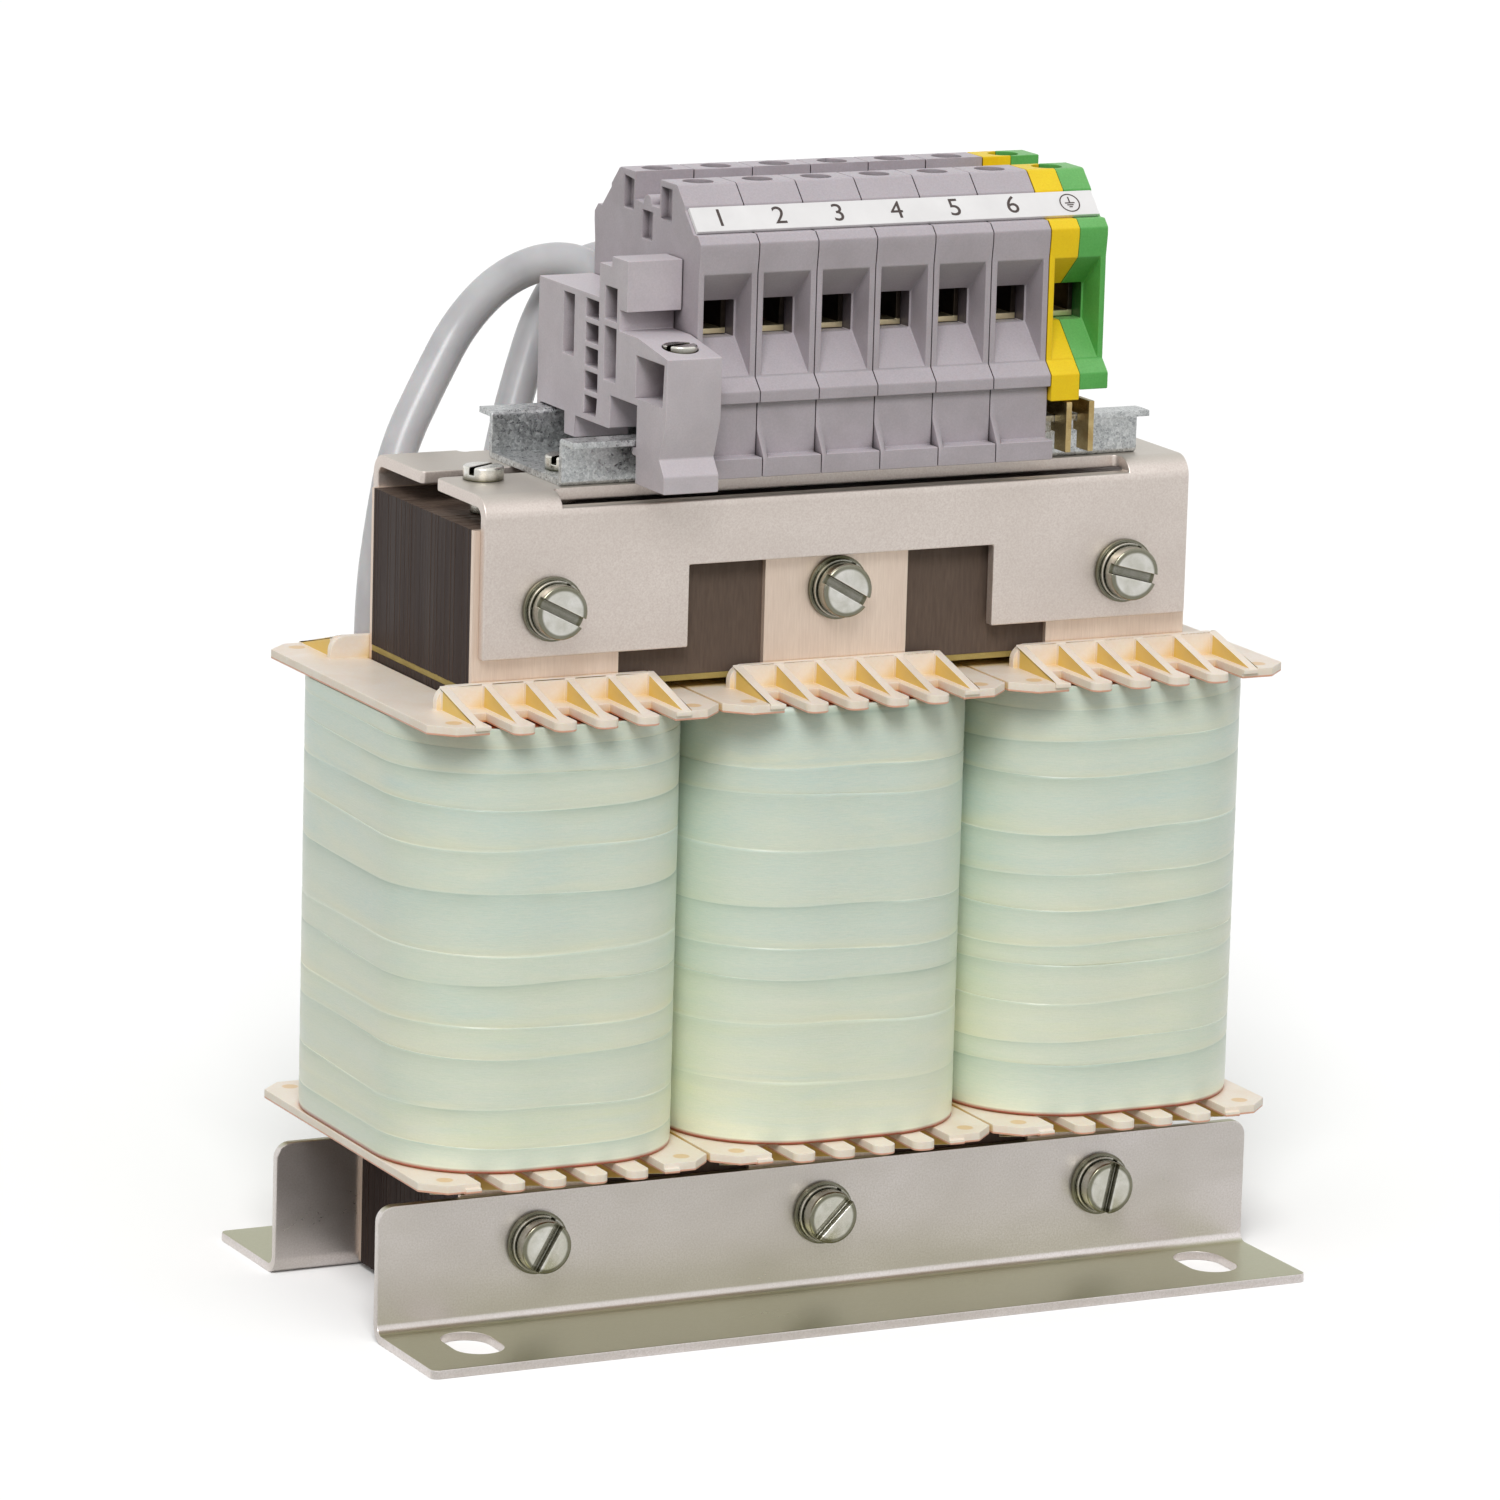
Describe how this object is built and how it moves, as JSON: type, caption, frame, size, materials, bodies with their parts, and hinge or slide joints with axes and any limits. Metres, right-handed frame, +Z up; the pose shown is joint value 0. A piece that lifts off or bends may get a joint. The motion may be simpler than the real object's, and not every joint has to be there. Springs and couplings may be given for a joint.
{
  "type": "three-phase motor choke",
  "caption": "Laminated iron-core choke with wound coils on moulded bobbins, slotted foot angles and a rail of screw terminals on top.",
  "frame": {"origin": "on the mounting surface, below the middle of the core", "axes": "+X along the row of coils, towards the earth terminal; -Y out of the front; +Z up"},
  "size_m": [0.154, 0.085, 0.1782],
  "materials": {
    "lamination_steel": "varnished dark brown laminations, satin",
    "gap_board": "pressed insulating board",
    "base_zinc": "zinc plated sheet",
    "bracket_zinc": "zinc plated sheet",
    "tie_plate_steel": "fine ground bare steel",
    "bobbin_plastic": "moulded ivory nylon",
    "winding_copper": "enamelled copper",
    "wrap_tape": "translucent pale green polyester tape",
    "fastener_zinc": "bright zinc plated",
    "rail_zinc": "spangled zinc",
    "terminal_grey": "moulded grey polyamide",
    "terminal_yellow": "moulded yellow polyamide",
    "terminal_green": "moulded green polyamide",
    "contact_brass": "tinned brass",
    "clamp_steel": "zinc plated steel",
    "label_white": "white marking strip",
    "clamp_grey": "moulded grey polyamide",
    "lead_jacket": "light grey insulation"
  },
  "bodies": {
    "root": {"core_stack": "lamination_steel", "top_yoke_stack": "lamination_steel", "air_gap_sheet": "gap_board", "base_angle_front": "base_zinc", "top_bracket_front": "bracket_zinc", "tie_plate_front_left": "tie_plate_steel", "tie_plate_front_centre": "tie_plate_steel", "tie_plate_front_right": "tie_plate_steel", "base_angle_rear": "base_zinc", "top_bracket_rear": "bracket_zinc", "tie_plate_rear_left": "tie_plate_steel", "tie_plate_rear_centre": "tie_plate_steel", "tie_plate_rear_right": "tie_plate_steel", "bobbin_left": "bobbin_plastic", "winding_left": "winding_copper", "wrap_left": "wrap_tape", "bobbin_centre": "bobbin_plastic", "winding_centre": "winding_copper", "wrap_centre": "wrap_tape", "bobbin_right": "bobbin_plastic", "winding_right": "winding_copper", "wrap_right": "wrap_tape", "clamp_screws": "fastener_zinc", "clamp_washers": "fastener_zinc", "clamp_spring_washers": "fastener_zinc", "clamp_nuts": "fastener_zinc", "din_rail": "rail_zinc", "rail_screws": "fastener_zinc", "earth_screw": "fastener_zinc", "terminal_housing_1": "terminal_grey", "current_bar_1": "contact_brass", "terminal_housing_2": "terminal_grey", "current_bar_2": "contact_brass", "terminal_housing_3": "terminal_grey", "current_bar_3": "contact_brass", "terminal_housing_4": "terminal_grey", "current_bar_4": "contact_brass", "terminal_housing_5": "terminal_grey", "current_bar_5": "contact_brass", "terminal_housing_6": "terminal_grey", "current_bar_6": "contact_brass", "pe_shell_yellow": "terminal_yellow", "pe_shell_green": "terminal_green", "pe_foot": "contact_brass", "terminal_cages": "clamp_steel", "terminal_screws": "clamp_steel", "label_strip": "label_white", "end_clamp": "clamp_grey", "end_clamp_screw": "fastener_zinc", "lead_1": "lead_jacket", "lead_2": "lead_jacket", "lead_3": "lead_jacket", "lead_4": "lead_jacket", "lead_5": "lead_jacket", "lead_6": "lead_jacket"}
  },
  "joints": []
}
